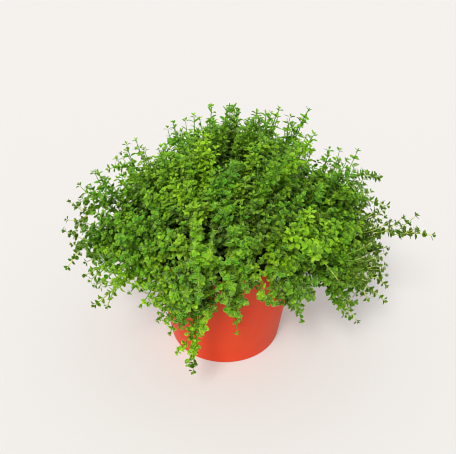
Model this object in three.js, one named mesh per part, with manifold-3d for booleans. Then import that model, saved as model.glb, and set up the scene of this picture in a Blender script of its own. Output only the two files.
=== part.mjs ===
// Potted thyme: a round plastic nursery pot, the potting mix in it, and the leafy sprigs rooted in the mix.
// Millimetres, +Z up. The origin is the centre of the pot's flat base, where the pot stands.
import * as THREE from 'three';
import { mergeVertices } from 'three/addons/utils/BufferGeometryUtils.js';
import Module from 'manifold-3d';

const wasm = await Module();
wasm.setup();

// Pot
const potHeight = 100;
const footRadius = 45;
const footChamfer = 1;
const wallSlope = 0.15; // how far the wall leans out for each millimetre of height
const wallThickness = 1.1;
const floorThickness = 1.5;
const lipHeight = 12; // the thicker-looking band round the mouth
const lipStep = 1.6; // how far the band stands out from the wall
const drainHoles = 8;
const drainHoleRadius = 4;
const drainCircleRadius = 31;
const drillLength = 6; // well through the floor, both ways
const drillSegments = 12;
const roundSegments = 40;

// Potting mix
const headSpace = 12; // from the mix up to the top of the lip
const mixCrown = 3; // how far the middle of the mix stands above its edge
const shoulderOut = 0.6; // where the mix starts to level off, as a share of its radius
const shoulderUp = 0.7; // and how much of its crown it has there
const gap = 0.3; // left between pieces that touch

// Sprigs
const stemWidth = 1.6; // thyme stems are four-sided
const stemSteps = 8;
const rootDepth = 12; // how far a sprig goes down into the mix
const firstRise = 0.6; // share of the way from the mix up to its crest that a stem climbs steeply
const outwardSwing = 0.7; // share of its reach that a stem has made where it is pulled to its crest
const leafLength = 7.5;
const leafWidth = 4.8;
const leafThickness = 0.9;
const leafInset = 0.9; // how far a leaf's narrow end reaches into its stem
const leafLift = 0.6; // radians that a leaf points forward of square to its stem
const smallLeaf = 0.8; // size of a bud, and of the last pair below it, next to a full leaf
const bareShare = 0.42; // share of a stem that has no leaves, up from its foot
const pairSpacing = 15;
const tipClearance = 4; // from the last pair to the end of the stem
const neighbourRoom = 6.5; // a pair is left off where another sprig comes this near
const stemMarks = 40; // points along a stem that its neighbours' leaves keep clear of

// Each ring of sprigs: foot is where they leave the mix and reach is where they end, both out from the
// middle; tip is the height of their ends, and crest the height that pulls the stem up on its way.
// Spread is the share by which the ring is wider to the plant's sides than to its front and back, and
// droop the share by which it hangs lower there.
const rings = [
  {
    name: 'trailing_sprig', count: 13, turn: 2,
    foot: 42, reach: 89, tip: 97, crest: 138, spread: 0.34, droop: 0.1,
  },
  {
    name: 'arching_sprig', count: 11, turn: 20,
    foot: 30, reach: 98, tip: 131, crest: 150, spread: 0.12, droop: 0,
  },
  {
    name: 'upright_sprig', count: 8, turn: 20,
    foot: 18, reach: 45, tip: 182, crest: 150, spread: 0, droop: 0,
  },
  {
    name: 'centre_sprig', count: 3, turn: 45,
    foot: 7, reach: 20, tip: 193, crest: 155, spread: 0, droop: 0,
  },
];
const plantLean = 0.18; // how far it has grown towards +X for each millimetre above the mix
const uneven = 0.04; // share by which one sprig's reach and height differ from the next
const unevenCrest = 0.013; // and its crest
const unevenBend = 10; // degrees
const unevenSeed = 7;

// Sprigs that stand out from the rest. Turn is where a sprig stands, in degrees about the pot from +X,
// and bend how much further about the pot it ends.
const straySprigs = [
  { name: 'long_right_sprig', turn: 334, bend: 18, foot: 35, reach: 147, tip: 112, crest: 118 },
  { name: 'hanging_front_sprig', turn: 265, bend: -5, foot: 37, reach: 86, tip: 40, crest: 150 },
];

const terracotta = new THREE.MeshStandardMaterial({ color: 0xd55331, roughness: 0.5, metalness: 0 });
const darkMix = new THREE.MeshStandardMaterial({ color: 0x33261d, roughness: 0.95, metalness: 0 });
const thymeGreen = new THREE.MeshStandardMaterial({ color: 0x5a8228, roughness: 0.6, metalness: 0 });

const mixTop = potHeight - headSpace;

function radians(degrees) {
  return THREE.MathUtils.degToRad(degrees);
}

function seededRandom(seed) {
  let state = seed;
  return () => {
    state = (state * 16807) % 2147483647;
    return state / 2147483647;
  };
}

function solidFrom(geometry) {
  geometry.deleteAttribute('normal');
  geometry.deleteAttribute('uv');
  const merged = mergeVertices(geometry);
  const vertProperties = new Float32Array(merged.attributes.position.array);
  const triVerts = new Uint32Array(merged.index.array);
  return new wasm.Manifold(new wasm.Mesh({ numProp: 3, vertProperties, triVerts }));
}

function geometryFrom(solid) {
  const mesh = solid.getMesh();
  const geometry = new THREE.BufferGeometry();
  geometry.setAttribute('position', new THREE.BufferAttribute(mesh.vertProperties, 3));
  geometry.setIndex(new THREE.BufferAttribute(mesh.triVerts, 1));
  geometry.computeVertexNormals();
  return geometry;
}

function lathe(profile) {
  const points = profile.map(([radius, height]) => new THREE.Vector2(radius, height));
  const geometry = new THREE.LatheGeometry(points, roundSegments);
  return geometry.rotateX(Math.PI / 2);
}

// The outside of the plain wall at a height.
function wallRadius(height) {
  return footRadius + wallSlope * height;
}

function makePot() {
  const lipFoot = potHeight - lipHeight;
  const innerLipFoot = lipFoot + wallThickness;
  let pot = solidFrom(lathe([
    [0, 0],
    [footRadius - footChamfer, 0],
    [wallRadius(footChamfer), footChamfer],
    [wallRadius(lipFoot), lipFoot],
    [wallRadius(lipFoot) + lipStep, lipFoot],
    [wallRadius(potHeight) + lipStep, potHeight],
    [wallRadius(potHeight) + lipStep - wallThickness, potHeight],
    [wallRadius(innerLipFoot) + lipStep - wallThickness, innerLipFoot],
    [wallRadius(innerLipFoot) - wallThickness, innerLipFoot],
    [wallRadius(floorThickness) - wallThickness, floorThickness],
    [0, floorThickness],
  ]));
  for (let hole = 0; hole < drainHoles; hole += 1) {
    const angle = (hole / drainHoles) * 2 * Math.PI;
    const drill = new THREE.CylinderGeometry(drainHoleRadius, drainHoleRadius, drillLength, drillSegments);
    drill.rotateX(Math.PI / 2);
    drill.translate(drainCircleRadius * Math.cos(angle), drainCircleRadius * Math.sin(angle), 0);
    pot = pot.subtract(solidFrom(drill));
  }
  return geometryFrom(pot);
}

// A stem rises out of the mix, swings out past its crest and ends at its tip.
function stemPath(sprig) {
  const angle = radians(sprig.turn);
  const tipAngle = radians(sprig.turn + sprig.bend);
  const lean = plantLean * (sprig.tip - mixTop);
  const place = (radius, direction, height, shift) => new THREE.Vector3(
    radius * Math.cos(direction) + shift,
    radius * Math.sin(direction),
    height,
  );
  return new THREE.CubicBezierCurve3(
    place(sprig.foot, angle, mixTop - rootDepth, 0),
    place(sprig.foot, angle, mixTop + firstRise * (sprig.crest - mixTop), 0),
    place(THREE.MathUtils.lerp(sprig.foot, sprig.reach, outwardSwing), tipAngle, sprig.crest, lean / 2),
    place(sprig.reach, tipAngle, sprig.tip, lean),
  );
}

function squareTube(path, width) {
  const section = new THREE.Shape([
    new THREE.Vector2(-width / 2, -width / 2),
    new THREE.Vector2(width / 2, -width / 2),
    new THREE.Vector2(width / 2, width / 2),
    new THREE.Vector2(-width / 2, width / 2),
  ]);
  return new THREE.ExtrudeGeometry(section, { steps: stemSteps, extrudePath: path });
}

// A leaf is a flat lozenge that lies along `along`, its narrow end inside the stem at `root`.
function makeLeaf(root, along, across, size) {
  const leaf = new THREE.OctahedronGeometry(1);
  leaf.scale(size * leafLength / 2, size * leafWidth / 2, leafThickness / 2);
  const facing = new THREE.Vector3().crossVectors(along, across);
  const placing = new THREE.Matrix4().makeBasis(along, across, facing);
  const middle = root.clone().addScaledVector(along, size * leafLength / 2 - leafInset);
  placing.setPosition(middle);
  leaf.applyMatrix4(placing);
  return { solid: solidFrom(leaf), middle };
}

// The opposite leaves of one pair, `quarter` turned about the stem from the pair below.
function leafPair(path, share, sideways, quarter, size) {
  const root = path.getPointAt(share);
  const forward = path.getTangentAt(share);
  const sideA = sideways.clone().addScaledVector(forward, -sideways.dot(forward)).normalize();
  const sideB = new THREE.Vector3().crossVectors(forward, sideA);
  const outward = quarter % 2 === 0 ? sideA : sideB;
  return [1, -1].map((sign) => {
    const along = outward.clone().multiplyScalar(sign * Math.cos(leafLift));
    along.addScaledVector(forward, Math.sin(leafLift));
    const across = new THREE.Vector3().crossVectors(forward, outward);
    return makeLeaf(root, along, across, size);
  });
}

function isFree(leaves, taken) {
  return leaves.every((leaf) => taken.every((point) => point.distanceTo(leaf.middle) > neighbourRoom));
}

function makeSprig(sprig, taken) {
  const path = stemPath(sprig);
  const length = path.getLength();
  const angle = radians(sprig.turn);
  const sideways = new THREE.Vector3(-Math.sin(angle), Math.cos(angle), 0);
  const forward = path.getTangentAt(1);
  const across = new THREE.Vector3().crossVectors(sideways, forward).normalize();
  const bud = makeLeaf(path.getPointAt(1), forward, across, smallLeaf);
  let solid = solidFrom(squareTube(path, stemWidth)).add(bud.solid);
  const own = [bud.middle];
  let quarter = 0;
  for (let at = length - tipClearance; at > bareShare * length; at -= pairSpacing) {
    const leaves = leafPair(path, at / length, sideways, quarter, quarter === 0 ? smallLeaf : 1);
    quarter += 1;
    if (isFree(leaves, taken)) {
      leaves.forEach((leaf) => {
        solid = solid.add(leaf.solid);
        own.push(leaf.middle);
      });
    }
  }
  path.getSpacedPoints(stemMarks).forEach((point) => own.push(point));
  taken.push(...own);
  return { solid, path };
}

function listSprigs() {
  const random = seededRandom(unevenSeed);
  const vary = (amount) => 1 + amount * (2 * random() - 1);
  const grown = [];
  for (const ring of rings) {
    for (let i = 0; i < ring.count; i += 1) {
      const turn = ring.turn + (i * 360) / ring.count;
      const sideways = Math.cos(radians(turn)) ** 2; // 1 at the plant's sides, 0 at its front and back
      grown.push({
        name: `${ring.name}_${i + 1}`,
        turn,
        foot: ring.foot,
        reach: ring.reach * vary(uneven) * (1 + ring.spread * sideways),
        tip: ring.tip * vary(uneven) * (1 - ring.droop * sideways),
        crest: ring.crest * vary(unevenCrest),
        bend: unevenBend * (2 * random() - 1),
      });
    }
  }
  return grown.concat(straySprigs);
}

function makeMix(sprigPaths) {
  const bottom = floorThickness + gap;
  const insideRadius = (height) => wallRadius(height) - wallThickness - gap;
  let mix = solidFrom(lathe([
    [0, bottom],
    [insideRadius(bottom), bottom],
    [insideRadius(mixTop), mixTop],
    [shoulderOut * insideRadius(mixTop), mixTop + shoulderUp * mixCrown],
    [0, mixTop + mixCrown],
  ]));
  for (const path of sprigPaths) {
    const socket = squareTube(path, stemWidth + 2 * gap).translate(0, 0, -gap);
    mix = mix.subtract(solidFrom(socket));
  }
  return geometryFrom(mix);
}

function piece(name, geometry, material) {
  const mesh = new THREE.Mesh(geometry, material);
  mesh.name = name;
  return mesh;
}

const pottedThyme = new THREE.Group();
pottedThyme.add(piece('pot', makePot(), terracotta));

const taken = [];
const sprigPaths = [];
for (const sprig of listSprigs()) {
  const { solid, path } = makeSprig(sprig, taken);
  sprigPaths.push(path);
  pottedThyme.add(piece(sprig.name, geometryFrom(solid), thymeGreen));
}
pottedThyme.add(piece('potting_mix', makeMix(sprigPaths), darkMix));

export default pottedThyme;
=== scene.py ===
import bpy
import bmesh
import heapq
import math
import random
import numpy as np
from mathutils import Matrix, Vector, noise


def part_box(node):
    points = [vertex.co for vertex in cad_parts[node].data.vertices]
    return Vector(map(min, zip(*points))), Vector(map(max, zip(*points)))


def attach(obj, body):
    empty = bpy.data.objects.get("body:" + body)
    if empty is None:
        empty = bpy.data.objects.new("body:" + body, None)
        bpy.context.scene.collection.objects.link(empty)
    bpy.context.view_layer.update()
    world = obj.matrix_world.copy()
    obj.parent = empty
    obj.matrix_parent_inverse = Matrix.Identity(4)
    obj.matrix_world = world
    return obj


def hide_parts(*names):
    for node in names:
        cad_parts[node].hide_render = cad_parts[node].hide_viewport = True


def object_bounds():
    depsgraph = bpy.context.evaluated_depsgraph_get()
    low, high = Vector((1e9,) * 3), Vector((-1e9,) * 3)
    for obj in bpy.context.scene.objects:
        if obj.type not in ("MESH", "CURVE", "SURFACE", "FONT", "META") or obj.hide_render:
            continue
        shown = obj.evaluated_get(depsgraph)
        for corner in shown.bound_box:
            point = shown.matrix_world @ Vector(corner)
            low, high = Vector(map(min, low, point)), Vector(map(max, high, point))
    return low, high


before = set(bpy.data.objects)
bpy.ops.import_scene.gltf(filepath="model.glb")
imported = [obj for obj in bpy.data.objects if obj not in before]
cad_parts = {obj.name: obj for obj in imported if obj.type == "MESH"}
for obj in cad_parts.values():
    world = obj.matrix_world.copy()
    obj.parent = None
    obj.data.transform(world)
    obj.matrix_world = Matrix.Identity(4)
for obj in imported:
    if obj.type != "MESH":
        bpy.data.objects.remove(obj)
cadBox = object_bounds()
print("potted thyme: frame loaded,", len(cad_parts), "nodes")

mm = 0.001
up = Vector((0, 0, 1))


def linkObject(name, mesh, material):
    obj = bpy.data.objects.new(name, mesh)
    bpy.context.scene.collection.objects.link(obj)
    mesh.materials.append(material)
    return obj


def smooth(mesh):
    mesh.polygons.foreach_set("use_smooth", [True] * len(mesh.polygons))
    mesh.update()


def newMaterial(name):
    mat = bpy.data.materials.new(name)
    mat.use_nodes = True
    tree = mat.node_tree
    tree.nodes.clear()
    out = tree.nodes.new("ShaderNodeOutputMaterial")
    bsdf = tree.nodes.new("ShaderNodeBsdfPrincipled")
    tree.links.new(bsdf.outputs["BSDF"], out.inputs["Surface"])
    return mat, tree, bsdf


def addNode(tree, kind, **settings):
    node = tree.nodes.new(kind)
    for key, value in settings.items():
        setattr(node, key, value)
    return node


def feed(tree, source, target, key):
    # a number is typed into the socket, anything else is wired to it
    if isinstance(source, (int, float, tuple)):
        target.inputs[key].default_value = source
    else:
        tree.links.new(source, target.inputs[key])


def mathNode(tree, operation, a, b=0.0, clamped=False):
    node = addNode(tree, "ShaderNodeMath", operation=operation, use_clamp=clamped)
    feed(tree, a, node, 0)
    feed(tree, b, node, 1)
    return node.outputs[0]


def mapRange(tree, value, low, high, toLow=0.0, toHigh=1.0):
    node = addNode(tree, "ShaderNodeMapRange", clamp=True)
    feed(tree, value, node, "Value")
    for key, number in (("From Min", low), ("From Max", high), ("To Min", toLow), ("To Max", toHigh)):
        node.inputs[key].default_value = number
    return node.outputs["Result"]


def mixColor(tree, factor, a, b):
    # 6 and 7 are the colour sockets of the mix node, and output 2 is its colour
    node = addNode(tree, "ShaderNodeMix", data_type="RGBA")
    feed(tree, factor, node, 0)
    feed(tree, a, node, 6)
    feed(tree, b, node, 7)
    return node.outputs[2]


def attribute(tree, name):
    return addNode(tree, "ShaderNodeAttribute", attribute_name=name).outputs["Fac"]


def objectPlace(tree):
    return addNode(tree, "ShaderNodeTexCoord").outputs["Object"]


def noiseNode(tree, scale, detail, roughness):
    node = addNode(tree, "ShaderNodeTexNoise")
    node.inputs["Scale"].default_value = scale
    node.inputs["Detail"].default_value = detail
    node.inputs["Roughness"].default_value = roughness
    tree.links.new(objectPlace(tree), node.inputs["Vector"])
    return node.outputs["Fac"]


def bump(tree, bsdf, height, strength, depth):
    node = addNode(tree, "ShaderNodeBump")
    node.inputs["Strength"].default_value = strength
    node.inputs["Distance"].default_value = depth
    tree.links.new(height, node.inputs["Height"])
    tree.links.new(node.outputs["Normal"], bsdf.inputs["Normal"])


# In these finishes a noise is (scale, detail, roughness) and a bump is (strength, depth). A range says
# between which values something starts and ends, and may go on with the strengths it has there.
potFinish = {
    "orange": (0.77, 0.070, 0.018, 1.0),
    "worn": (0.69, 0.076, 0.023, 1.0),
    "wornNoise": (28.0, 4.0, 0.6),
    "wornRange": (0.35, 0.7),
    "speck": (0.06, 0.03, 0.018, 1.0),
    "speckNoise": (900.0, 2.0, 0.5),
    "speckFrom": 0.745,
    "speckStrength": 0.6,
    "splashRange": (30 * mm, 0.0, 0.0, 0.045),
    "glossNoise": (60.0, 3.0, 0.6),
    "roughnessRange": (0.3, 0.7, 0.42, 0.55),
    "specular": 0.25,
    "grainNoise": (1400.0, 2.0, 0.5),
    "grainBump": (0.08, 0.4 * mm),
}


def makePotPlastic():
    mat, tree, bsdf = newMaterial("potPlastic")
    worn = mapRange(tree, noiseNode(tree, *potFinish["wornNoise"]), *potFinish["wornRange"])
    color = mixColor(tree, worn, potFinish["orange"], potFinish["worn"])
    # specks of dirt, more of them where water splashes on the foot
    place = addNode(tree, "ShaderNodeSeparateXYZ")
    tree.links.new(objectPlace(tree), place.inputs[0])
    splash = mapRange(tree, place.outputs["Z"], *potFinish["splashRange"])
    specks = mathNode(tree, "ADD", noiseNode(tree, *potFinish["speckNoise"]), splash)
    dirty = mathNode(tree, "GREATER_THAN", specks, potFinish["speckFrom"])
    dirty = mathNode(tree, "MULTIPLY", dirty, potFinish["speckStrength"])
    color = mixColor(tree, dirty, color, potFinish["speck"])
    tree.links.new(color, bsdf.inputs["Base Color"])
    rough = mapRange(tree, noiseNode(tree, *potFinish["glossNoise"]), *potFinish["roughnessRange"])
    tree.links.new(rough, bsdf.inputs["Roughness"])
    bsdf.inputs["Specular IOR Level"].default_value = potFinish["specular"]
    bump(tree, bsdf, noiseNode(tree, *potFinish["grainNoise"]), *potFinish["grainBump"])
    return mat


mixFinish = {
    "dark": (0.016, 0.010, 0.007, 1.0),
    "light": (0.085, 0.052, 0.030, 1.0),
    "lumpNoise": (420.0, 5.0, 0.65),
    "lumpRange": (0.4, 0.72),
    "roughness": 0.95,
    "grainNoise": (900.0, 4.0, 0.7),
    "grainBump": (0.7, 1 * mm),
}


def makeMixFinish():
    mat, tree, bsdf = newMaterial("pottingMixFinish")
    lumps = mapRange(tree, noiseNode(tree, *mixFinish["lumpNoise"]), *mixFinish["lumpRange"])
    color = mixColor(tree, lumps, mixFinish["dark"], mixFinish["light"])
    tree.links.new(color, bsdf.inputs["Base Color"])
    bsdf.inputs["Roughness"].default_value = mixFinish["roughness"]
    bump(tree, bsdf, noiseNode(tree, *mixFinish["grainNoise"]), *mixFinish["grainBump"])
    return mat


leafFinish = {
    "deep": (0.006, 0.050, 0.012, 1.0),
    "middle": (0.066, 0.330, 0.007, 1.0),
    "fresh": (0.400, 0.700, 0.006, 1.0),
    "olive": (0.058, 0.130, 0.010, 1.0),
    "oliveStrength": 0.85,
    # the margin colour: the leaf's own pale edge with a painted highlight on it; the rib shares it
    "marginAndHighlight": (0.815, 0.935, 0.310, 1.0),
    "marginAndHighlightRange": (0.74, 1.0, 0.0, 0.72),
    "ribRange": (0.14, 0.0, 0.0, 0.40),
    "mottleNoise": (520.0, 3.0, 0.6),
    "mottleRange": (0.35, 0.75, -0.08, 0.16),
    "glow": (0.160, 0.500, 0.005, 1.0),
    "glowShare": 0.5,
    "throughLight": 0.20,
    "roughness": 0.36,
    "specular": 0.23,
    "grainNoise": (1500.0, 2.0, 0.5),
    "grainBump": (0.25, 0.3 * mm),
}


def makeLeafFinish():
    mat, tree, bsdf = newMaterial("leafFinish")
    # the tone runs from deep to middle green: the leaves' own tone, and painted shade darker inside the
    # crown
    color = mixColor(tree, attribute(tree, "tone"), leafFinish["deep"], leafFinish["middle"])
    mottle = mapRange(tree, noiseNode(tree, *leafFinish["mottleNoise"]), *leafFinish["mottleRange"])
    fresh = mathNode(tree, "ADD", attribute(tree, "fresh"), mottle, clamped=True)
    color = mixColor(tree, fresh, color, leafFinish["fresh"])
    olive = mathNode(tree, "MULTIPLY", attribute(tree, "olive"), leafFinish["oliveStrength"])
    color = mixColor(tree, olive, color, leafFinish["olive"])
    # the pale margin, partly the leaf's own pale edge and partly a painted highlight along it, and the pale
    # rib along the middle
    across = mathNode(tree, "ABSOLUTE", attribute(tree, "across"))
    marginAndHighlight = mapRange(tree, across, *leafFinish["marginAndHighlightRange"])
    rib = mapRange(tree, across, *leafFinish["ribRange"])
    color = mixColor(tree, mathNode(tree, "MAXIMUM", marginAndHighlight, rib), color, leafFinish["marginAndHighlight"])
    tree.links.new(color, bsdf.inputs["Base Color"])
    bsdf.inputs["Roughness"].default_value = leafFinish["roughness"]
    bsdf.inputs["Specular IOR Level"].default_value = leafFinish["specular"]
    bump(tree, bsdf, noiseNode(tree, *leafFinish["grainNoise"]), *leafFinish["grainBump"])
    # some of the light comes through the leaf
    through = addNode(tree, "ShaderNodeBsdfTranslucent")
    glow = mixColor(tree, leafFinish["glowShare"], color, leafFinish["glow"])
    tree.links.new(glow, through.inputs["Color"])
    blend = addNode(tree, "ShaderNodeMixShader")
    blend.inputs["Fac"].default_value = leafFinish["throughLight"]
    tree.links.new(bsdf.outputs["BSDF"], blend.inputs[1])
    tree.links.new(through.outputs["BSDF"], blend.inputs[2])
    tree.links.new(blend.outputs["Shader"], tree.nodes["Material Output"].inputs["Surface"])
    return mat


stemFinish = {
    "green": (0.130, 0.290, 0.020, 1.0),
    "pale": (0.700, 0.720, 0.200, 1.0),
    "woody": (0.180, 0.080, 0.030, 1.0),
    "woodyRange": (0.85, 1.15),
    "streakNoise": (260.0, 3.0, 0.6),
    "streakRange": (0.2, 0.6),
    "streakShare": 0.3,
    "roughness": 0.6,
    "specular": 0.15,
    "grainNoise": (1200.0, 3.0, 0.6),
    "grainBump": (0.3, 0.3 * mm),
}


def makeStemFinish():
    mat, tree, bsdf = newMaterial("stemFinish")
    streak = noiseNode(tree, *stemFinish["streakNoise"])
    palePart = mapRange(tree, streak, *stemFinish["streakRange"])
    pale = mathNode(tree, "MULTIPLY", attribute(tree, "pale"), palePart)
    color = mixColor(tree, pale, stemFinish["green"], stemFinish["pale"])
    aged = mathNode(tree, "MULTIPLY", streak, stemFinish["streakShare"])
    aged = mathNode(tree, "ADD", attribute(tree, "age"), aged)
    color = mixColor(tree, mapRange(tree, aged, *stemFinish["woodyRange"]), color, stemFinish["woody"])
    tree.links.new(color, bsdf.inputs["Base Color"])
    bsdf.inputs["Roughness"].default_value = stemFinish["roughness"]
    bsdf.inputs["Specular IOR Level"].default_value = stemFinish["specular"]
    bump(tree, bsdf, noiseNode(tree, *stemFinish["grainNoise"]), *stemFinish["grainBump"])
    return mat


floorFinish = {
    "color": (0.52, 0.507, 0.495, 1.0),
    "glow": 0.20,
    "roughness": 0.9,
    "specular": 0.1,
}


def makeFloorFinish():
    mat, tree, bsdf = newMaterial("floorFinish")
    bsdf.inputs["Base Color"].default_value = floorFinish["color"]
    bsdf.inputs["Roughness"].default_value = floorFinish["roughness"]
    bsdf.inputs["Specular IOR Level"].default_value = floorFinish["specular"]
    bsdf.inputs["Emission Color"].default_value = floorFinish["color"]
    bsdf.inputs["Emission Strength"].default_value = floorFinish["glow"] / floorFinish["color"][0]
    return mat


potPlastic = makePotPlastic()
pottingMixFinish = makeMixFinish()
leafMaterial = makeLeafFinish()
stemMaterial = makeStemFinish()
print("potted thyme: finishes made")


potShape = {
    "segments": 168,
    "footChamfer": 1 * mm,
    "lipStep": 0.3 * mm,
    "rounding": 0.7 * mm,
    "longestCut": 0.45,
    "arcSteps": 4,
    "sharpAngle": 50,
    "drainHoles": 8,
    "drainCircle": 31 * mm,
    "drainRadius": 4 * mm,
    "drainSides": 32,
    "drillLength": 6 * mm,
}


def cadPoints(node):
    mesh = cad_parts[node].data
    co = np.empty(len(mesh.vertices) * 3)
    mesh.vertices.foreach_get("co", co)
    return co.reshape(-1, 3)


def near(values, target):
    return np.abs(values - target) < 0.05 * mm


def roundedOutline(corners):
    # each inner corner becomes a short arc, the two ends stay sharp
    longest, steps = potShape["longestCut"], potShape["arcSteps"]
    out = [Vector(corners[0])]
    for before, corner, after in zip(corners, corners[1:], corners[2:]):
        here = Vector(corner)
        back = Vector(before) - here
        ahead = Vector(after) - here
        cut = min(potShape["rounding"], longest * back.length, longest * ahead.length)
        start = here + back.normalized() * cut
        end = here + ahead.normalized() * cut
        for i in range(steps + 1):
            t = i / steps
            out.append(start * (1 - t) ** 2 + here * 2 * t * (1 - t) + end * t ** 2)
    out.append(Vector(corners[-1]))
    return out


def spinOutline(name, outline, segments):
    bm = bmesh.new()
    verts = [bm.verts.new((p.x, 0.0, p.y)) for p in outline]
    edges = [bm.edges.new(pair) for pair in zip(verts, verts[1:])]
    bmesh.ops.spin(
        bm, geom=verts + edges, cent=(0, 0, 0), axis=up, angle=2 * math.pi, steps=segments,
    )
    bmesh.ops.remove_doubles(bm, verts=bm.verts, dist=1e-6)
    bmesh.ops.recalc_face_normals(bm, faces=bm.faces)
    mesh = bpy.data.meshes.new(name)
    bm.to_mesh(mesh)
    bm.free()
    return mesh


def cutDrainHoles(obj):
    bm = bmesh.new()
    radius = potShape["drainRadius"]
    circle = potShape["drainCircle"]
    for i in range(potShape["drainHoles"]):
        turn = 2 * math.pi * i / potShape["drainHoles"]
        centre = (circle * math.cos(turn), circle * math.sin(turn), 0)
        made = bmesh.ops.create_cone(
            bm, cap_ends=True, segments=potShape["drainSides"],
            radius1=radius, radius2=radius, depth=potShape["drillLength"],
        )
        bmesh.ops.translate(bm, vec=centre, verts=made["verts"])
    mesh = bpy.data.meshes.new("drill")
    bm.to_mesh(mesh)
    bm.free()
    drill = bpy.data.objects.new("drill", mesh)
    bpy.context.scene.collection.objects.link(drill)
    cut = obj.modifiers.new("drainHoles", "BOOLEAN")
    cut.object = drill
    cut.solver = "EXACT"
    depsgraph = bpy.context.evaluated_depsgraph_get()
    made = bpy.data.meshes.new_from_object(obj.evaluated_get(depsgraph))
    obj.modifiers.clear()
    obj.data = made
    bpy.data.objects.remove(drill)


def makePot():
    points = cadPoints("pot")
    radius = np.hypot(points[:, 0], points[:, 1])
    z = points[:, 2]
    top = z.max()
    foot = radius[near(z, 0)].max()
    floorTop = z[near(radius, 0)].max()
    chamferTop = potShape["footChamfer"]
    chamfer = radius[near(z, chamferTop)].max()
    lipFoot = z[z > top / 2].min()
    wallTop = radius[near(z, lipFoot)].min()
    lipBottom = radius[near(z, lipFoot)].max()
    lipTop = radius.max()
    lipInside = radius[near(z, top)].min()
    wall = lipTop - lipInside
    slope = (wallTop - chamfer) / (lipFoot - chamferTop)
    outline = roundedOutline([
        (0, 0),
        (foot, 0),
        (chamfer, chamferTop),
        (wallTop, lipFoot),
        (lipBottom, lipFoot + potShape["lipStep"]),
        (lipTop, top),
        (lipInside, top),
        (lipBottom - wall + slope * wall, lipFoot + wall),
        (wallTop - wall, lipFoot),
        (chamfer - wall, floorTop),
        (0, floorTop),
    ])
    mesh = spinOutline("pot_shell", outline, potShape["segments"])
    pot = linkObject("pot_shell", mesh, potPlastic)
    cutDrainHoles(pot)
    smooth(pot.data)
    pot.data.set_sharp_from_angle(angle=math.radians(potShape["sharpAngle"]))
    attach(pot, "root")
    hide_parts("pot")
    return pot, foot, lipTop, top


pot, footOutside, rimOutside, potTop = makePot()
print("potted thyme: pot made,", len(pot.data.polygons), "faces")


mixShape = {
    "rings": 46,
    "around": 150,
    "lumpHeight": 1.6 * mm,
    "lumpSize": 190.0,
    "lumpNoise": (1.0, 2.0, 4),
    "lumpLevel": 0.6,
    "crumbs": 420,
    "crumbSize": (0.5 * mm, 2.0 * mm),
    "crumbShrink": (0.5, 1.0),
    "crumbStretch": ((0.6, 1.5), (0.6, 1.2), (0.4, 0.9)),
    "crumbDents": 0.35,
    "dentSize": 900,
    "crumbInset": 1.5 * mm,
    "seed": 5,
}


def makeMixBody(low, high, foot, edge, brim):
    bm = bmesh.new()
    around = mixShape["around"]
    rows = []
    for i in range(1, mixShape["rings"] + 1):
        share = i / mixShape["rings"]
        r = edge * share
        row = []
        for j in range(around):
            a = 2 * math.pi * j / around
            x, y = r * math.cos(a), r * math.sin(a)
            place = Vector((x, y, 0.3)) * mixShape["lumpSize"]
            lump = noise.fractal(place, *mixShape["lumpNoise"]) - mixShape["lumpLevel"]
            mound = (high - brim) * (1.0 - share ** 2)
            row.append(bm.verts.new((x, y, brim + mound + mixShape["lumpHeight"] * lump)))
        rows.append(row)
    base = [bm.verts.new((foot * v.co.x / edge, foot * v.co.y / edge, low)) for v in rows[-1]]
    middle = bm.verts.new((0, 0, high))
    under = bm.verts.new((0, 0, low))
    for j in range(around):
        k = (j + 1) % around
        bm.faces.new((middle, rows[0][j], rows[0][k]))
        for inner, outer in zip(rows, rows[1:]):
            bm.faces.new((inner[j], outer[j], outer[k], inner[k]))
        bm.faces.new((rows[-1][j], base[j], base[k], rows[-1][k]))
        bm.faces.new((under, base[k], base[j]))
    mesh = bpy.data.meshes.new("mix_body")
    bm.to_mesh(mesh)
    bm.free()
    smooth(mesh)
    return linkObject("mix_body", mesh, pottingMixFinish)


def makeMixCrumbs(high, edge, brim):
    rng = random.Random(mixShape["seed"])
    bm = bmesh.new()
    for i in range(mixShape["crumbs"]):
        r = (edge - mixShape["crumbInset"]) * math.sqrt(rng.random())
        a = rng.uniform(0, 2 * math.pi)
        size = rng.uniform(*mixShape["crumbSize"]) * rng.uniform(*mixShape["crumbShrink"])
        height = brim + (high - brim) * (1 - (r / edge) ** 2)
        made = bmesh.ops.create_icosphere(bm, subdivisions=2, radius=size)
        stretch = [rng.uniform(*span) for span in mixShape["crumbStretch"]]
        for v in made["verts"]:
            place = v.co * mixShape["dentSize"] + Vector((i, 0, 0))
            rough = 1 + mixShape["crumbDents"] * noise.noise(place)
            v.co = Vector(v.co[k] * stretch[k] * rough for k in range(3))
        bmesh.ops.translate(bm, vec=(r * math.cos(a), r * math.sin(a), height), verts=made["verts"])
    mesh = bpy.data.meshes.new("mix_crumbs")
    bm.to_mesh(mesh)
    bm.free()
    return linkObject("mix_crumbs", mesh, pottingMixFinish)


def makeMix():
    low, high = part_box("potting_mix")
    points = cadPoints("potting_mix")
    radius = np.hypot(points[:, 0], points[:, 1])
    edge = radius.max()
    foot = radius[near(points[:, 2], low.z)].max()
    brim = points[near(radius, edge), 2].max()
    body = makeMixBody(low.z, high.z, foot, edge, brim)
    crumbs = makeMixCrumbs(high.z, edge, brim)
    for piece in (body, crumbs):
        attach(piece, "root")
        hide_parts("potting_mix")
    return brim, edge


mixBrim, mixEdge = makeMix()
print("potted thyme: potting mix made")


leafShape = {
    # share of the length, and half of the width there as a share of the full width
    "rows": [
        (0.0, 0.06), (0.11, 0.07), (0.20, 0.28), (0.34, 0.45),
        (0.52, 0.50), (0.70, 0.47), (0.86, 0.35), (0.96, 0.18),
    ],
    "cup": 0.36,
    "tipDroop": 0.16,
    "cellFill": 0.9,
}


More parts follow.
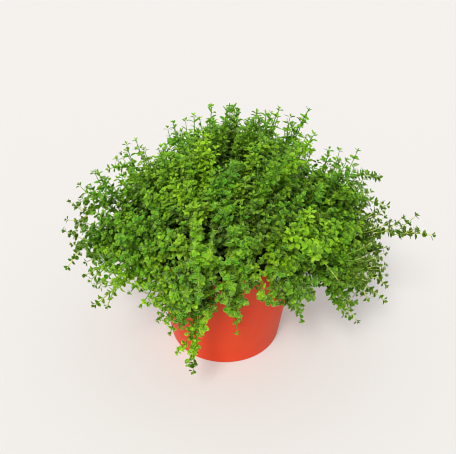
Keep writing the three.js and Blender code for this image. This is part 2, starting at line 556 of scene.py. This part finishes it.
def leafTemplate():
    # three points across each row, then the tip: along, across, lift
    points = []
    for t, half in leafShape["rows"]:
        for side in (-1, 0, 1):
            points.append((t, side * half, abs(side)))
    points.append((1.0, 0.0, 0.0))
    quads = []
    rows = len(leafShape["rows"])
    for i in range(rows - 1):
        a = 3 * i
        quads.append((a, a + 1, a + 4, a + 3))
        quads.append((a + 1, a + 2, a + 5, a + 4))
    last = 3 * (rows - 1)
    tip = 3 * rows
    return np.array(points), quads, [(last, last + 1, tip), (last + 1, last + 2, tip)]


leafPoints, leafQuads, leafTris = leafTemplate()


# Each row is one leaf: where it joins, which way it points and faces, as three numbers each, then its
# length, width, curl, tone, fresh and olive.
def buildLeaves(name, rows):
    data = np.array(rows)
    root, along, facing = data[:, 0:3], data[:, 3:6], data[:, 6:9]
    size, broad, curl, tone, fresh, olive = data[:, 9:].T
    across = np.cross(facing, along)
    t, w, edge = leafPoints[:, 0], leafPoints[:, 1], leafPoints[:, 2]
    width = broad[:, None] * w[None, :]
    count, each = len(data), len(leafPoints)
    rise = leafShape["cup"] * edge[None, :] * np.abs(width) - leafShape["tipDroop"] * t[None, :] ** 2
    lift = rise - curl[:, None] * t[None, :] ** 2
    co = root[:, None, :] + size[:, None, None] * (
        t[None, :, None] * along[:, None, :]
        + width[:, :, None] * across[:, None, :]
        + lift[:, :, None] * facing[:, None, :]
    )
    offsets = np.arange(count)[:, None, None] * each
    quads = (np.array(leafQuads)[None] + offsets).reshape(-1, 4)
    tris = (np.array(leafTris)[None] + offsets).reshape(-1, 3)
    mesh = bpy.data.meshes.new(name)
    mesh.from_pydata(co.reshape(-1, 3).tolist(), [], quads.tolist() + tris.tolist())
    for key, values in (
        ("tone", np.repeat(tone, each)),
        ("fresh", np.repeat(fresh, each)),
        ("olive", np.repeat(olive, each)),
        ("across", np.tile(np.sign(w), count)),
    ):
        attr = mesh.attributes.new(key, "FLOAT", "POINT")
        attr.data.foreach_set("value", values.astype(np.float32))
    # every leaf has a cell of its own on the map
    grid = math.ceil(math.sqrt(count))
    index = np.arange(count)
    fill = leafShape["cellFill"]
    u = (index % grid)[:, None] + 0.5 + fill * w[None, :]
    v = (index // grid)[:, None] + (1 - fill) / 2 + fill * t[None, :]
    uv = np.stack([u, v], -1).reshape(-1, 2) / grid
    loops = np.empty(len(mesh.loops), np.int32)
    mesh.loops.foreach_get("vertex_index", loops)
    layer = mesh.uv_layers.new(name="OFBake")
    layer.data.foreach_set("uv", uv[loops].astype(np.float32).ravel())
    smooth(mesh)
    return linkObject(name, mesh, leafMaterial)


# All the stems of one sprig, as tubes: an age and a paleness go with each point.
class StemPile:
    def __init__(self):
        self.co = []
        self.faces = []
        self.age = []
        self.pale = []

    def tube(self, line, thick, thin, ageFoot, ageTip, sides):
        start = len(self.co)
        count = len(line)
        slant = Vector((0.3, 0.5, 0.8))
        side = slant.cross(line[1] - line[0]).normalized()
        for i, point in enumerate(line):
            ahead = line[min(i + 1, count - 1)] - line[max(i - 1, 0)]
            ahead.normalize()
            side = (side - ahead * side.dot(ahead)).normalized()
            other = ahead.cross(side)
            share = i / (count - 1)
            radius = thick + (thin - thick) * share
            for k in range(sides):
                a = 2 * math.pi * k / sides
                self.co.append(point + (side * math.cos(a) + other * math.sin(a)) * radius)
                self.age.append(ageFoot + (ageTip - ageFoot) * share)
                self.pale.append(oliveAt(point))
        for i in range(count - 1):
            for k in range(sides):
                a = start + i * sides
                b = a + sides
                n = (k + 1) % sides
                self.faces.append((a + k, a + n, b + n, b + k))
        self.faces.append(tuple(start + k for k in reversed(range(sides))))
        self.faces.append(tuple(start + (count - 1) * sides + k for k in range(sides)))


def buildStems(name, pile):
    mesh = bpy.data.meshes.new(name)
    mesh.from_pydata([tuple(p) for p in pile.co], [], pile.faces)
    for key, values in (("age", pile.age), ("pale", pile.pale)):
        attr = mesh.attributes.new(key, "FLOAT", "POINT")
        attr.data.foreach_set("value", np.array(values, np.float32))
    smooth(mesh)
    return linkObject(name, mesh, stemMaterial)


stemReading = {
    "samePoint": 2e5,  # points that agree to this many steps in a metre are one
    "footHeight": 0.5 * mm,
    "slice": 10 * mm,
    "sliceEasing": 2,
    "lineEasing": 3,
}


def ease(line, rounds):
    for _ in range(rounds):
        line[1:-1] = 0.25 * line[:-2] + 0.5 * line[1:-1] + 0.25 * line[2:]


# The middle line of a sprig's stem, from its foot in the mix to its tip, read from the CAD solid:
# the solid's points are sorted by how far it is to walk to them along its edges.
def stemLine(node):
    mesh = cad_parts[node].data
    points = cadPoints(node)
    rounded = np.round(points * stemReading["samePoint"]).astype(int)
    first = {}
    same = [first.setdefault(tuple(p), i) for i, p in enumerate(rounded)]
    links = {}
    for edge in mesh.edges:
        a, b = same[edge.vertices[0]], same[edge.vertices[1]]
        if a != b:
            gap = float(np.linalg.norm(points[a] - points[b]))
            links.setdefault(a, []).append((b, gap))
            links.setdefault(b, []).append((a, gap))
    inPot = np.hypot(points[:, 0], points[:, 1]) < mixEdge
    footTop = points[inPot, 2].min() + stemReading["footHeight"]
    walked = {i: 0.0 for i in links if inPot[i] and points[i, 2] < footTop}
    queue = [(0.0, i) for i in walked]
    while queue:
        done, here = heapq.heappop(queue)
        if done > walked[here]:
            continue
        for there, gap in links[here]:
            reach = done + gap
            if reach < walked.get(there, math.inf):
                walked[there] = reach
                heapq.heappush(queue, (reach, there))
    ids = np.array(list(walked))
    far = np.array([walked[i] for i in ids])
    thick = stemReading["slice"]
    line = []
    for k in range(int(far.max() / thick) + 1):
        inside = (far >= k * thick) & (far < (k + 1) * thick)
        if inside.any():
            line.append(points[ids[inside]].mean(0))
    line[-1] = points[ids[far.argmax()]]
    line = np.array(line)
    ease(line, stemReading["sliceEasing"])
    return line


# the same line as evenly spaced points, and its length
def evenLine(line):
    lengths = np.concatenate([[0], np.cumsum(np.linalg.norm(np.diff(line, axis=0), axis=1))])
    at = np.linspace(0, lengths[-1], growth["linePoints"])
    even = np.stack([np.interp(at, lengths, line[:, k]) for k in range(3)], -1)
    ease(even, stemReading["lineEasing"])
    return even, lengths[-1]


growth = {
    "seed": 21,
    "linePoints": 33,
    "leafSize": 5.7 * mm,
    "heartAside": 4 * mm,
    "heartOverMix": 12 * mm,
    "domeEdge": 0.45,
    "domeFade": 0.5,
    "leanInDome": 0.25,
    "lessUpAtFoot": 0.45,
}

heart = Vector((growth["heartAside"], 0.0, mixBrim + growth["heartOverMix"]))

# how far the leafy crown reaches from its heart: degrees down from straight up, reach
crownProfile = [(0, 97), (20, 90), (45, 80), (65, 90), (82, 104), (105, 98), (125, 78)]

# where it bulges and where it parts: turn, degrees down, how wide, how far
crownLobes = [
    {"turn": 335, "down": 106, "wide": 18, "reach": 22},
    {"turn": 178, "down": 90, "wide": 16, "reach": 10},
    {"turn": 158, "down": 53, "wide": 14, "reach": 8},
    {"turn": 70, "down": 36, "wide": 24, "reach": 9},
    {"turn": 90, "down": 24, "wide": 26, "reach": 5},
    {"turn": 3, "down": 70, "wide": 18, "reach": 18},
    {"turn": 24, "down": 58, "wide": 9, "reach": -8},
    {"turn": 142, "down": 52, "wide": 6, "reach": -7},
    {"turn": 222, "down": 104, "wide": 14, "reach": -26},
    {"turn": 306, "down": 108, "wide": 14, "reach": -16},
    {"turn": 262, "down": 106, "wide": 14, "reach": 8},
]

# and how uneven it is all over
crownUneven = {"share": 0.06, "size": 2.4}


def clamp(value):
    return min(1.0, max(0.0, value))


def turned(vector, axis, degrees):
    return Matrix.Rotation(math.radians(degrees), 3, axis) @ vector


def anySide(forward, rng):
    wild = Vector((rng.gauss(0, 1), rng.gauss(0, 1), rng.gauss(0, 1)))
    side = wild - forward * wild.dot(forward)
    return side.normalized()


def towards(turn, down):
    a, b = math.radians(turn), math.radians(down)
    return Vector((math.sin(b) * math.cos(a), math.sin(b) * math.sin(a), math.cos(b)))


def turnOf(point):
    return math.degrees(math.atan2(point.y, point.x)) % 360


def crownReach(direction):
    down = math.degrees(direction.angle(up))
    reach = np.interp(down, [p[0] for p in crownProfile], [p[1] for p in crownProfile])
    for lobe in crownLobes:
        middle = towards(lobe["turn"], lobe["down"])
        away = math.degrees(middle.angle(direction)) / lobe["wide"]
        reach += lobe["reach"] * math.exp(-away * away)
    uneven = noise.noise(direction * crownUneven["size"])
    return reach * (1 + crownUneven["share"] * uneven) * mm


# shoots in the dome stand upright, those round its foot lean out
def lightFrom(point):
    outward = (point - heart).normalized()
    low = clamp((growth["domeEdge"] - outward.z) / growth["domeFade"])
    lean = growth["leanInDome"] + (1 - growth["leanInDome"]) * low
    return (outward * lean + up * (1.0 - growth["lessUpAtFoot"] * low)).normalized()


# Where the front of the wall shows: a wedge that starts under the lip and widens down to the fringe's
# hem. Shoots that stand further out have to stay higher.
bareSide = {
    "front": (258, 335),
    "turn": 289,
    "wide": 2,
    "below": 73 * mm,
    "fall": 2.2 * mm,
    "hem": 48 * mm,
    "rise": 0.93,
}


def overBareSide(point):
    turn = turnOf(point)
    beside = max(0.0, abs(turn - bareSide["turn"]) - bareSide["wide"])
    edge = max(bareSide["hem"], bareSide["below"] - bareSide["fall"] * beside)
    edge += bareSide["rise"] * (math.hypot(point.x, point.y) - rimOutside)
    return bareSide["front"][0] < turn < bareSide["front"][1] and point.z < edge


# The stems keep this far off the pot: inside and outside its wall, over its rim, and how far down the
# wall a stem is still lifted over the rim.
potGap = {"inside": 4.5 * mm, "outside": 1.5 * mm, "over": 2 * mm, "liftDepth": 14 * mm}


# where the wall and its gaps begin and end at a height, as radii
def wallAt(z):
    share = min(z, potTop) / potTop
    outside = footOutside + (rimOutside - footOutside) * share
    return outside - potGap["inside"], outside + potGap["outside"]


# lifts a stem's points over the rim, and keeps them off the wall below it
def overRim(line):
    out = line.copy()
    for p in out:
        radius = math.hypot(p[0], p[1])
        inside, outside = wallAt(p[2])
        if p[2] < potTop + potGap["over"] and inside < radius < outside:
            if p[2] > potTop - potGap["liftDepth"]:
                p[2] = potTop + potGap["over"]
            else:
                p[:2] *= outside / radius
    return out


# How a leaf is toned: lighter at the tips and darker inside the crown, which is painted shade, but not
# where the crown opens low down; lime in patches; olive far out and low down, where the leaves are older.
leafTone = {
    "tips": 0.30,
    "shade": 1.15,
    "shadeDepth": 24 * mm,
    "openBelow": 62 * mm,
    "openOver": 45 * mm,
    "limePatch": 26.0,
    "limeFrom": 0.12,
    "limeGain": 1.3,
    "limeLost": 0.8,
    "oliveFrom": 97 * mm,
    "oliveOver": 18 * mm,
    "hangingBelow": 60 * mm,
}


def oliveAt(point):
    outer = (math.hypot(point.x, point.y) - leafTone["oliveFrom"]) / leafTone["oliveOver"]
    hanging = (leafTone["hangingBelow"] - point.z) / leafTone["oliveOver"]
    return clamp(max(outer, hanging))


def tonesAt(point, tone, fresh):
    # painted shade: the deeper a leaf sits inside the crown, the darker its tone
    depth = crownReach((point - heart).normalized()) - (point - heart).length
    inner = clamp(depth / leafTone["shadeDepth"])
    inner *= clamp((point.z - leafTone["openBelow"]) / leafTone["openOver"])
    patch = noise.noise(point * leafTone["limePatch"]) - leafTone["limeFrom"]
    lime = (fresh + leafTone["limeGain"] * max(0.0, patch)) * (1 - leafTone["limeLost"] * oliveAt(point))
    return tone + leafTone["tips"] - leafTone["shade"] * inner, lime


pairShape = {
    "broadLow": 0.82,
    "broadHigh": 0.46,
    "highOver": 55 * mm,
    "sizeLow": 0.84,
    "sizeGain": 0.24,
    "join": 0.7,
    "sag": 0.08,
    "openVaries": 14,
    "twistVaries": 26,
    "sizeVaries": (0.80, 1.16),
    "broadVaries": (0.88, 1.1),
    "curlVaries": (-0.08, 0.22),
    "toneVaries": 0.3,
    "freshVaries": 0.1,
    "oliveVaries": 0.2,
}


def varied(value, most, rng):
    return clamp(value + rng.uniform(-most, most))


def addPair(leaves, root, forward, side, size, lift, radius, tone, fresh, rng):
    high = clamp((root.z - heart.z) / pairShape["highOver"])
    broad = pairShape["broadLow"] + (pairShape["broadHigh"] - pairShape["broadLow"]) * high
    scale = pairShape["sizeLow"] + pairShape["sizeGain"] * high
    most = pairShape["openVaries"]
    for sign in (1, -1):
        opened = math.radians(lift + rng.uniform(-most, most))
        out = side * sign
        along = out * math.cos(opened) + forward * math.sin(opened)
        facing = forward * math.cos(opened) - out * math.sin(opened)
        along = (along - up * pairShape["sag"]).normalized()
        facing = (facing - along * facing.dot(along)).normalized()
        twist = rng.uniform(-pairShape["twistVaries"], pairShape["twistVaries"])
        facing = turned(facing, along, twist)
        leaves.append((
            *(root + out * radius * pairShape["join"]), *along, *facing,
            size * rng.uniform(*pairShape["sizeVaries"]) * scale,
            broad * rng.uniform(*pairShape["broadVaries"]),
            rng.uniform(*pairShape["curlVaries"]),
            varied(tone, pairShape["toneVaries"], rng),
            varied(fresh, pairShape["freshVaries"], rng),
            varied(oliveAt(root), pairShape["oliveVaries"], rng),
        ))


tipShape = {
    # share of the leaf size, lift in degrees, how far on in mm
    "pairs": ((0.72, 34, 0.0), (0.54, 50, 1.1), (0.34, 70, 1.8)),
    "radius": 0.2 * mm,
    "tone": 0.2,
    "fresh": 0.22,
}


# the crowded little leaves at the end of any shoot
def addTip(leaves, point, forward, side, size, tone, fresh, rng):
    other = forward.cross(side)
    for i, (share, lift, on) in enumerate(tipShape["pairs"]):
        place = point + forward * on * mm
        turn = (side, other)[i % 2]
        lighter = tone + tipShape["tone"] * i
        fresher = fresh + tipShape["fresh"] * i
        addPair(leaves, place, forward, turn, size * share, lift, tipShape["radius"], lighter, fresher, rng)


tuftShape = {
    "radius": 0.1 * mm,
    "lower": {"size": (0.50, 0.70), "lift": 34, "tone": 0.2, "fresh": 0.22},
    "upper": {"size": (0.34, 0.50), "lift": 52, "tone": 0.3, "fresh": 0.45},
    "upperOn": 0.8,
}


# the young leaves in the corner between a big leaf and the stem
def addTuft(leaves, point, out, side, size, tone, fresh, rng):
    lower, upper = tuftShape["lower"], tuftShape["upper"]
    lowerSize = size * rng.uniform(*lower["size"])
    upperSize = size * rng.uniform(*upper["size"])
    radius = tuftShape["radius"]
    addPair(leaves, point, out, side, lowerSize, lower["lift"], radius,
            tone + lower["tone"], fresh + lower["fresh"], rng)
    point = point + out * tuftShape["upperOn"] * mm
    addPair(leaves, point, out, out.cross(side), upperSize, upper["lift"], radius,
            tone + upper["tone"], fresh + upper["fresh"], rng)


whorl = {
    "spacing": 6.0 * mm,
    "spacingVaries": (0.85, 1.15),
    "closerAtTip": 0.35,
    "endGap": 2.5 * mm,
    "turnVaries": 18,
    "shrinkFrom": 0.6,
    "shrink": 0.55,
    "lift": 28,
    "liftGain": 14,
    "tuftsFade": 1.3,
    "tuftOut": 0.7,
    "tuftGap": (0.5, 1.5),
}


# leaves in pairs, each a quarter turn on from the last, with tufts of young leaves where they join
def addWhorls(leaves, line, first, size, thick, thin, tone, fresh, tufts, rng):
    count = len(line) - 1
    lengths = [0.0]
    for a, b in zip(line, line[1:]):
        lengths.append(lengths[-1] + (b - a).length)
    total = lengths[-1]
    at = first
    quarter = rng.randrange(2)
    side = anySide((line[1] - line[0]).normalized(), rng)
    i = 0
    while at < total - whorl["endGap"]:
        while lengths[i + 1] < at:
            i += 1
        inside = (at - lengths[i]) / (lengths[i + 1] - lengths[i])
        point = line[i].lerp(line[i + 1], inside)
        forward = (line[min(i + 2, count)] - line[max(i - 1, 0)]).normalized()
        side = (side - forward * side.dot(forward)).normalized()
        share = at / total
        radius = thick + (thin - thick) * share
        pairSide = side if quarter % 2 == 0 else forward.cross(side)
        pairSide = turned(pairSide, forward, rng.uniform(-whorl["turnVaries"], whorl["turnVaries"]))
        grown = size * (1.0 - whorl["shrink"] * max(0.0, share - whorl["shrinkFrom"]))
        lift = whorl["lift"] + whorl["liftGain"] * share
        # the leaf tone with painted shade inside the crown, and the lime
        shadedTone, lime = tonesAt(point, tone, fresh)
        addPair(leaves, point, forward, pairSide, grown, lift, radius, shadedTone, lime, rng)
        if rng.random() < tufts * (whorl["tuftsFade"] - share):
            for sign in (1, -1):
                out = (pairSide * sign * whorl["tuftOut"] + forward * whorl["tuftOut"]).normalized()
                bud = point + out * (radius + rng.uniform(*whorl["tuftGap"]) * mm)
                addTuft(leaves, bud, out, forward.cross(pairSide).normalized(), size, shadedTone, lime, rng)
        quarter += 1
        closer = 1.0 - whorl["closerAtTip"] * share ** 3
        at += whorl["spacing"] * rng.uniform(*whorl["spacingVaries"]) * closer
    forward = (line[-1] - line[-2]).normalized()
    side = (side - forward * side.dot(forward)).normalized()
    addTip(leaves, line[-1], forward, side, size, tone, fresh, rng)


branchShape = {
    "from": 0.40,
    "every": 10 * mm,
    "everyVaries": (0.85, 1.2),
    "spire": 18 * mm,  # the stretch under a shoot's tip that has none
    "roll": 70,
    "angle": 46.0,
    "angleVaries": 12,
    "length": (12 * mm, 30 * mm),
    "taper": 0.6,
    "least": 5 * mm,
    "step": 2.5 * mm,
    "fewestSteps": 3,
    "towardsLight": 0.34,
    "wander": 0.06,
    "thick": 0.40 * mm,
    "thin": 0.24 * mm,
    "leafThin": 0.28 * mm,
    "ages": (0.35, 0.0),
    "sides": 5,
    "firstPair": 3.5 * mm,
    "leafSize": (0.84, 1.0),
    "tufts": 0.75,
    "toneVaries": 0.15,
    "freshVaries": 0.12,
}


def growBranch(start, forward, length, rng):
    line = [start.copy()]
    point = start.copy()
    step = branchShape["step"]
    for _ in range(max(branchShape["fewestSteps"], round(length / step))):
        light = lightFrom(point) * branchShape["towardsLight"]
        forward = (forward + light + anySide(forward, rng) * branchShape["wander"]).normalized()
        point = point + forward * step
        radius = math.hypot(point.x, point.y)
        inside, outside = wallAt(point.z)
        if point.z < potTop + potGap["over"] and inside < radius < outside:
            point = Vector((point.x * outside / radius, point.y * outside / radius, point.z))
        if overBareSide(point) and len(line) > 2:
            break
        line.append(point.copy())
    return line


def addBranch(leaves, stems, start, out, reach, tone, fresh, rng):
    branch = growBranch(start, out, reach, rng)
    thick, thin = branchShape["thick"], branchShape["thin"]
    stems.tube(branch, thick, thin, *branchShape["ages"], branchShape["sides"])
    size = growth["leafSize"] * rng.uniform(*branchShape["leafSize"])
    tone = clamp(tone + rng.gauss(0, branchShape["toneVaries"]))
    fresh = clamp(fresh + rng.gauss(0, branchShape["freshVaries"]))
    addWhorls(leaves, branch, branchShape["firstPair"], size, thick, branchShape["leafThin"],
              tone, fresh, branchShape["tufts"], rng)


shootShape = {
    "thin": 0.34 * mm,
    "ages": (1.0, 0.1),
    "sides": 6,
    "firstPair": 2 * mm,
    "leafThick": 0.8,
    "tufts": 0.9,
    # where a shoot runs almost straight up, its branches are set off from this side
    "upright": 0.2,
    "uprightSide": (0.3, 0.1, 0),
}


# one shoot with its leaves and branches; its leaves start at the share leafyFrom of its length
def growShoot(leaves, stems, line, length, leafyFrom, thick, tone, fresh, rng):
    points = [Vector(p) for p in line]
    count = len(points) - 1
    thin = shootShape["thin"]
    stems.tube(points, thick, thin, *shootShape["ages"], shootShape["sides"])
    addWhorls(leaves, points[int(leafyFrom * count):], shootShape["firstPair"], growth["leafSize"],
              thick * shootShape["leafThick"], thin, tone, fresh, shootShape["tufts"], rng)
    at = branchShape["from"] * length
    while at < length - branchShape["spire"]:
        share = at / length
        i = min(count - 1, int(share * count))
        forward = (points[min(i + 1, count)] - points[max(i - 1, 0)]).normalized()
        level = up.cross(forward)
        if level.length < shootShape["upright"]:
            level = Vector((forward.y, -forward.x, 0)) + Vector(shootShape["uprightSide"])
        side = (level - forward * level.dot(forward)).normalized()
        side = turned(side, forward, rng.uniform(-branchShape["roll"], branchShape["roll"]))
        longest = (1 - share) * length * branchShape["taper"] + branchShape["least"]
        most = branchShape["angleVaries"]
        for sign in (1, -1):
            reach = min(rng.uniform(*branchShape["length"]), longest)
            angle = math.radians(branchShape["angle"] + rng.uniform(-most, most))
            out = (side * sign * math.sin(angle) + forward * math.cos(angle)).normalized()
            addBranch(leaves, stems, points[i], out, reach, tone, fresh, rng)
        at += branchShape["every"] * rng.uniform(*branchShape["everyVaries"])


# The fillers are shoots that fill the crown between the sprigs of the frame: one for each patch of the
# crown, fewer low down and over the front of the lip, and more where shoots crowd together.
filling = {
    "spacing": 13.5 * mm,
    "shell": 92 * mm,
    "lowest": -0.55,
    "stray": 0.08,
    "reach": (0.84, 1.0),
    "hollowSize": 6.0,
    "hollowFrom": 0.05,
    "hollowDepth": 66 * mm,
    "lowFrom": -0.15,
    "lowLeftOut": 0.35,
    "crowdDown": 0.7,
}

# how thinly the shoots hang over the front of the lip
fringe = {"turn": (222, 284), "below": 96 * mm, "leftOut": 0.68}

# where shoots crowd together at the edge
crowded = [
    {"turn": 333, "down": 107, "wide": 7, "reach": (102, 114), "count": 10},
    {"turn": 340, "down": 103, "wide": 6, "reach": (114, 128), "count": 6},
    {"turn": 5, "down": 72, "wide": 6, "reach": (104, 114), "count": 8},
    {"turn": 354, "down": 93, "wide": 6, "reach": (112, 124), "count": 6},
    {"turn": 201, "down": 102, "wide": 5, "reach": (104, 118), "count": 6},
    {"turn": 185, "down": 96, "wide": 5, "reach": (108, 120), "count": 4},
    {"turn": 220, "down": 103, "wide": 3, "reach": (88, 92), "count": 2},
    {"turn": 226, "down": 124, "wide": 5, "reach": (76, 92), "count": 7},
    {"turn": 313, "down": 107, "wide": 6, "reach": (70, 83), "count": 9},
]


# directions spread evenly over the crown, as seeds sit in a sunflower
def fillDirections():
    count = round(4 * math.pi * filling["shell"] ** 2 / filling["spacing"] ** 2)
    found = []
    for i in range(count):
        rise = 1 - 2 * (i + 0.5) / count
        turn = i * math.pi * (3 - math.sqrt(5))
        flat = math.sqrt(1 - rise * rise)
        found.append(Vector((flat * math.cos(turn), flat * math.sin(turn), rise)))
    return [d for d in found if d.z > filling["lowest"]]


def inFringe(point):
    return point.z < fringe["below"] and fringe["turn"][0] < turnOf(point) < fringe["turn"][1]


# the places in the crown that the fillers' tips reach
def fillTargets(rng):
    targets = []
    for direction in fillDirections():
        direction = (direction + anySide(direction, rng) * filling["stray"]).normalized()
        dent = noise.noise(direction * filling["hollowSize"]) - filling["hollowFrom"]
        hollow = filling["hollowDepth"] * max(0.0, dent)
        target = heart + direction * (crownReach(direction) * rng.uniform(*filling["reach"]) - hollow)
        leftOut = fringe["leftOut"] if inFringe(target) else filling["lowLeftOut"]
        if overBareSide(target) or (direction.z < filling["lowFrom"] and rng.random() < leftOut):
            continue
        targets.append(target)
    for place in crowded:
        for _ in range(place["count"]):
            turn = place["turn"] + rng.gauss(0, place["wide"])
            down = place["down"] + rng.gauss(0, place["wide"] * filling["crowdDown"])
            targets.append(heart + towards(turn, down) * rng.uniform(*place["reach"]) * mm)
    return targets


fillerShape = {
    "leaves": (0.15, 0.32),
    "bendOut": 0.42,
    "bendIn": 0.38,
    "sway": 3,
    "hangBelow": 96 * mm,
    "hang": 0.35,
    "thick": 0.6 * mm,
    "leafyFrom": 0.3,
    "toneVaries": 0.2,
    "freshVaries": 0.22,
}


# a stem that leaves a sprig low down and comes up to a place in the crown
def fillerLine(line, target, rng):
    leave = int(rng.uniform(*fillerShape["leaves"]) * len(line))
    start = Vector(line[leave])
    first = (Vector(line[leave + 1]) - start).normalized()
    span = (target - start).length
    last = lightFrom(target)
    if target.z < fillerShape["hangBelow"]:
        last = ((target - heart).normalized() - up * fillerShape["hang"]).normalized()
        first = (first + up * fillerShape["hang"]).normalized()
    bendOut = start + first * span * fillerShape["bendOut"]
    bendIn = target - last * span * fillerShape["bendIn"] + anySide(last, rng) * fillerShape["sway"] * mm
    out = []
    for t in np.linspace(0, 1, growth["linePoints"]):
        u = 1 - t
        out.append(start * u ** 3 + bendOut * 3 * u * u * t + bendIn * 3 * u * t * t + target * t ** 3)
    return np.array(out)


sprigShape = {
    "thick": 0.95 * mm,
    "leafyFrom": 0.34,
    "tone": (0.45, 0.8),
    "fresh": (0.10, 0.16),
}


# one sprig of the frame with the fillers that spring from it
def growSprig(node, seed, line, length, targets):
    rng = random.Random(seed)
    leaves, stems = [], StemPile()
    tone = rng.uniform(*sprigShape["tone"])
    fresh = max(0.0, rng.gauss(*sprigShape["fresh"]))
    growShoot(leaves, stems, line, length, sprigShape["leafyFrom"], sprigShape["thick"], tone, fresh, rng)
    for target in targets:
        filler, fillerLength = evenLine(overRim(fillerLine(line, target, rng)))
        fillerTone = clamp(tone + rng.gauss(0, fillerShape["toneVaries"]))
        fillerFresh = clamp(fresh + rng.gauss(0, fillerShape["freshVaries"]))
        growShoot(leaves, stems, filler, fillerLength, fillerShape["leafyFrom"], fillerShape["thick"],
                  fillerTone, fillerFresh, rng)
    foliage = buildLeaves(node + "_leaves", leaves)
    stalks = buildStems(node + "_stems", stems)
    for piece, slot in ((foliage, "thyme_leaf"), (stalks, "thyme_stem")):
        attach(piece, "root")
        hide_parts(node)
    return len(leaves)


sprigNodes = sorted(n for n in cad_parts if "sprig" in n)
sprigLines = {n: evenLine(stemLine(n)) for n in sprigNodes}
tips = {n: Vector(sprigLines[n][0][-1]) for n in sprigNodes}

# each filler springs from the sprig whose tip is nearest
fillers = {n: [] for n in sprigNodes}
for target in fillTargets(random.Random(growth["seed"])):
    owner = min(tips, key=lambda n: (tips[n] - target).length)
    fillers[owner].append(target)

leafCount = 0
for index, node in enumerate(sprigNodes, start=1):
    leafCount += growSprig(node, growth["seed"] + index, *sprigLines[node], fillers[node])
print("potted thyme: sprigs grown,", leafCount, "leaves,", sum(len(f) for f in fillers.values()), "fillers")


studio = {
    "floorSize": 80.0,
    "skyColor": (0.985, 0.985, 1.0, 1.0),
    "skyStrength": 0.56,
    "sun": {"turn": (40.0, 0.0, -18.0), "softness": 17.0, "strength": 2.2, "color": (1.0, 0.985, 0.95)},
    "transform": "Standard",
    "look": "Medium High Contrast",
    "filterWidth": 1.0,
}


def makeFloor():
    bm = bmesh.new()
    bmesh.ops.create_grid(bm, x_segments=2, y_segments=2, size=studio["floorSize"] / 2)
    mesh = bpy.data.meshes.new("floor")
    bm.to_mesh(mesh)
    bm.free()
    floor = linkObject("floor", mesh, makeFloorFinish())
    floor.location.z = cadBox[0].z


def addSun(turn, softness, strength, color):
    light = bpy.data.lights.new("softSun", "SUN")
    light.angle = math.radians(softness)
    light.energy = strength
    light.color = color
    obj = bpy.data.objects.new("softSun", light)
    bpy.context.scene.collection.objects.link(obj)
    obj.rotation_euler = [math.radians(a) for a in turn]


def makeSky():
    world = bpy.data.worlds.new("studioSky")
    bpy.context.scene.world = world
    world.use_nodes = True
    back = world.node_tree.nodes["Background"]
    back.inputs["Color"].default_value = studio["skyColor"]
    back.inputs["Strength"].default_value = studio["skyStrength"]


lens = {
    "distance": 0.66,
    "climb": 43.53,
    "pitch": 36.24,
    "yaw": 0.29,
    "focal": 60.13,
    "sensor": 36.0,
    "nearest": 0.01,
    "furthest": 120.0,
}


def makeCamera():
    data = bpy.data.cameras.new("camera")
    data.sensor_width = lens["sensor"]
    data.lens = lens["focal"]
    data.clip_start = lens["nearest"]
    data.clip_end = lens["furthest"]
    camera = bpy.data.objects.new("camera", data)
    bpy.context.scene.collection.objects.link(camera)
    climb = math.radians(lens["climb"])
    pitch = math.radians(lens["pitch"])
    yaw = math.radians(lens["yaw"])
    camera.location = (0.0, -lens["distance"] * math.cos(climb), lens["distance"] * math.sin(climb))
    look = Vector((math.sin(yaw) * math.cos(pitch), math.cos(yaw) * math.cos(pitch), -math.sin(pitch)))
    camera.rotation_euler = look.to_track_quat("-Z", "Y").to_euler()
    bpy.context.scene.camera = camera


makeFloor()
makeSky()
addSun(**studio["sun"])
makeCamera()
bpy.context.scene.view_settings.view_transform = studio["transform"]
bpy.context.scene.view_settings.look = studio["look"]
bpy.context.scene.cycles.filter_width = studio["filterWidth"]
print("potted thyme: studio ready")
